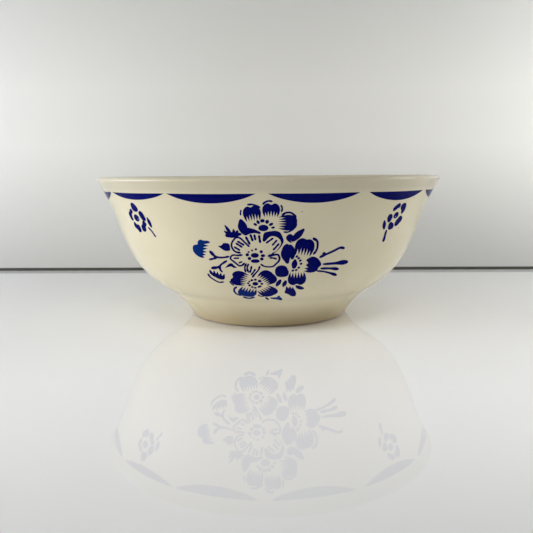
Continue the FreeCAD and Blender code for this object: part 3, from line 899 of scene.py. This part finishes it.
def area_light(name, place, aim, width, height, power, colour=(1.0, 1.0, 1.0), spread=180.0):
    light = bpy.data.lights.new(name, "AREA")
    light.shape = "RECTANGLE"
    light.size = width
    light.size_y = height
    light.energy = power
    light.color = colour
    light.spread = math.radians(spread)
    holder = bpy.data.objects.new(name, light)
    holder.location = place
    holder.rotation_euler = (Vector(aim) - Vector(place)).to_track_quat("-Z", "Y").to_euler()
    bpy.context.scene.collection.objects.link(holder)


def set_stage():
    table = stage_material("pale_table", (0.98, 0.98, 0.98), 0.8, ior=1.0)
    wall = stage_material("pale_wall", (0.88, 0.88, 0.855), 0.6, front_only=True,
                          shades=WALL_SHADES)
    # A dark strip filling the gap under the wall: painted shadow.
    dark = stage_material("painted_shadow_gap", (0.07, 0.07, 0.055), 0.9, front_only=True)
    middle = TABLE_BACK - STAGE_WIDTH / 10.0
    stage_sheet("table_varnish", varnish(), Matrix.Translation((0, middle, 0)), STAGE_WIDTH)
    stage_sheet("table_top", table, Matrix.Translation((0, middle, -VARNISH)), STAGE_WIDTH)
    standing = Matrix.Rotation(math.radians(90), 4, "X")
    wall_place = Matrix.Translation((0, TABLE_BACK, GAP + WALL_HEIGHT / 2.0))
    gap_place = Matrix.Translation((0, TABLE_BACK, GAP / 2.0))
    stage_sheet("back_wall", wall, wall_place @ standing, WALL_HEIGHT)
    stage_sheet("painted_shadow_under_wall", dark, gap_place @ standing, GAP)


def set_lights():
    middle = (0.0, 0.0, 0.05)
    window = (0.9, 0.5)
    area_light("window_left", (-0.9, -0.45, 0.25), middle, *window, 4.8, (1.0, 0.96, 0.86))
    area_light("window_far_left", (-1.0, 0.02, 0.25), middle, *window, 5.6, (0.9, 1.0, 1.2))
    area_light("window_right", (1.0, 0.02, 0.25), middle, *window, 2.2, (1.0, 1.0, 0.92))
    area_light("ceiling", (0.0, -0.7, 1.3), (0.0, -0.2, 0.0), 2.0, 0.8, 3.4)
    area_light("table_pool", (0.05, -0.5, 0.6), (0.05, -0.14, 0.0), 0.4, 0.1, 0.09, spread=36.0)
    area_light("wall_wash", (0.5, 0.0, 0.22), (0.25, TABLE_BACK, 0.12), 0.2, 0.3, 0.75)
    world = bpy.data.worlds.new("room")
    world.use_nodes = True
    tree = world.node_tree
    dim = tree.nodes["Background"]
    dim.inputs["Color"].default_value = (1.0, 0.97, 0.92, 1.0)
    dim.inputs["Strength"].default_value = 0.03
    pale = node(tree, "ShaderNodeBackground", Color=(0.70, 0.70, 0.68, 1.0), Strength=1.0)
    seen = tree.nodes.new("ShaderNodeLightPath")
    either = tree.nodes.new("ShaderNodeMixShader")
    tree.links.new(seen.outputs["Is Camera Ray"], either.inputs["Fac"])
    tree.links.new(dim.outputs[0], either.inputs[1])
    tree.links.new(pale.outputs[0], either.inputs[2])
    tree.links.new(either.outputs[0], tree.nodes["World Output"].inputs["Surface"])
    bpy.context.scene.world = world
    bpy.context.scene.view_settings.view_transform = "Standard"


def set_camera():
    """A little above the rim, in front of the bowl, with a short telephoto view."""
    data = bpy.data.cameras.new("camera")
    data.sensor_width = 36.0
    data.lens = 41.7
    camera = bpy.data.objects.new("camera", data)
    distance, height = 0.452, 0.099
    side, yaw, pitch, roll = (math.radians(angle) for angle in (1.66, 0.22, 8.44, -0.45))
    camera.matrix_world = (
        Matrix.Translation((distance * math.sin(side), -distance * math.cos(side), height))
        @ Matrix.Rotation(side + yaw, 4, "Z")
        @ Matrix.Rotation(math.pi / 2.0 - pitch, 4, "X")
        @ Matrix.Rotation(roll, 4, "Z"))
    bpy.context.scene.collection.objects.link(camera)
    bpy.context.scene.camera = camera


set_stage()
set_lights()
set_camera()
